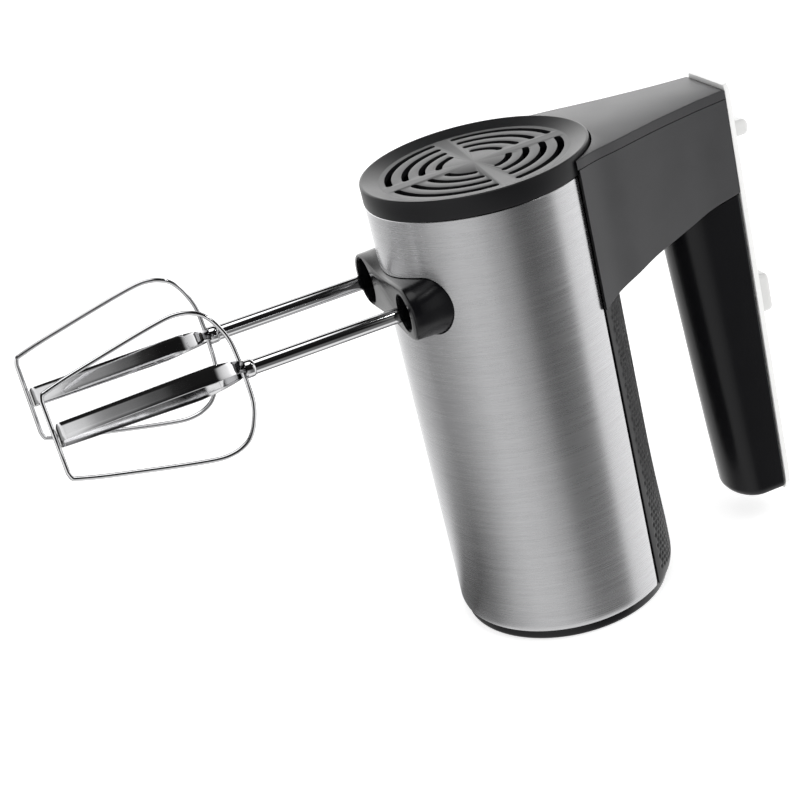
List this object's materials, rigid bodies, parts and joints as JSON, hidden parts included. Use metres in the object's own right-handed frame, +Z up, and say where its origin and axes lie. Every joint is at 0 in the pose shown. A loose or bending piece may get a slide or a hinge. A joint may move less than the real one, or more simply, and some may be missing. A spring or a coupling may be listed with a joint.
{
  "type": "hand mixer",
  "caption": "Hand mixer with an upright steel barrel, vented cap, bridge and handle, and two counter-turning loop beaters.",
  "frame": {"origin": "centre of the base's resting face, on the barrel's axis", "axes": "+Z up the barrel's axis, +X the way the beaters point, away from the handle, +Y across"},
  "size_m": [0.2936, 0.091, 0.1882],
  "materials": {
    "black_plastic": "satin",
    "soft_black": "dimpled, matt",
    "grey_cap": "satin",
    "white_plastic": "satin",
    "brushed_steel": "brushed round the barrel",
    "chrome": "polished",
    "machine_steel": "machined",
    "spring_steel": "bright drawn",
    "copper": "enamelled copper",
    "laminations": "stacked sheet",
    "bronze": "sintered",
    "nylon": "natural",
    "carbon": "pressed carbon"
  },
  "bodies": {
    "mixer_body": {"base_plate": "black_plastic", "base_screw_1": "machine_steel", "base_screw_2": "machine_steel", "base_screw_3": "machine_steel", "base_screw_4": "machine_steel", "motor_housing": "black_plastic", "steel_sleeve": "brushed_steel", "rear_grip": "soft_black", "vent_cap": "grey_cap", "bridge_shell": "black_plastic", "bridge_lid": "grey_cap", "handle_shell": "black_plastic", "handle_screw_near": "machine_steel", "handle_screw_far": "machine_steel", "back_cover": "white_plastic", "nose_socket": "black_plastic", "gearbox_frame": "machine_steel", "spindle_bush_near_front": "bronze", "spindle_bush_near_rear": "bronze", "spindle_bush_far_front": "bronze", "spindle_bush_far_rear": "bronze", "stator_core": "laminations", "field_coil_front": "copper", "field_coil_rear": "copper", "motor_bracket": "machine_steel", "motor_bearing_lower": "bronze", "bearing_plate": "machine_steel", "motor_bearing_upper": "bronze", "brush_holder_near": "nylon", "brush_holder_far": "nylon", "carbon_brush_near": "carbon", "carbon_brush_far": "carbon", "switch_body": "nylon"},
    "armature": {"worm_shaft": "machine_steel", "armature_core": "laminations", "winding_lower": "copper", "winding_upper": "copper", "commutator": "copper", "cooling_fan": "black_plastic"},
    "spindle_near_body": {"spindle_near": "machine_steel", "worm_wheel_near": "nylon"},
    "spindle_far_body": {"spindle_far": "machine_steel", "worm_wheel_far": "nylon"},
    "beater_near_body": {"beater_stem_near": "chrome", "beater_collar_near": "nylon", "beater_wire_near": "chrome", "beater_strip_near": "chrome"},
    "beater_far_body": {"beater_stem_far": "chrome", "beater_collar_far": "nylon", "beater_wire_far": "chrome", "beater_strip_far": "chrome"},
    "ejector": {"eject_button": "white_plastic", "ejector_fork": "machine_steel", "ejector_spring": "spring_steel"},
    "slider": {"speed_slider": "white_plastic"}
  },
  "joints": [
    {"name": "motor_spin", "type": "hinge", "parent": "mixer_body", "child": "armature", "pos_m": [0, 0, 0.1], "axis": [0, 0, 1], "continuous": true},
    {"name": "near_spindle_spin", "type": "hinge", "parent": "mixer_body", "child": "spindle_near_body", "pos_m": [0, 0.02177, 0.1471], "axis": [1, 0, 0], "continuous": true},
    {"name": "far_spindle_spin", "type": "hinge", "parent": "mixer_body", "child": "spindle_far_body", "pos_m": [0, -0.02177, 0.1471], "axis": [1, 0, 0], "continuous": true},
    {"name": "near_beater_pull", "type": "slide", "parent": "spindle_near_body", "child": "beater_near_body", "axis": [1, 0, 0], "range_m": [0, 0.05]},
    {"name": "far_beater_pull", "type": "slide", "parent": "spindle_far_body", "child": "beater_far_body", "axis": [1, 0, 0], "range_m": [0, 0.05]},
    {"name": "eject_press", "type": "slide", "parent": "mixer_body", "child": "ejector", "axis": [1, 0, 0], "range_m": [0, 0.006], "stiffness_N_per_m": 600, "springref_m": -0.003, "deforming": ["ejector_spring"]},
    {"name": "speed_slide", "type": "slide", "parent": "mixer_body", "child": "slider", "axis": [0, 0, 1], "range_m": [0, 0.014]}
  ],
  "couplings": [
    {"joint": "near_spindle_spin", "follows": "motor_spin", "ratio": 0.030303},
    {"joint": "far_spindle_spin", "follows": "motor_spin", "ratio": -0.030303}
  ]
}
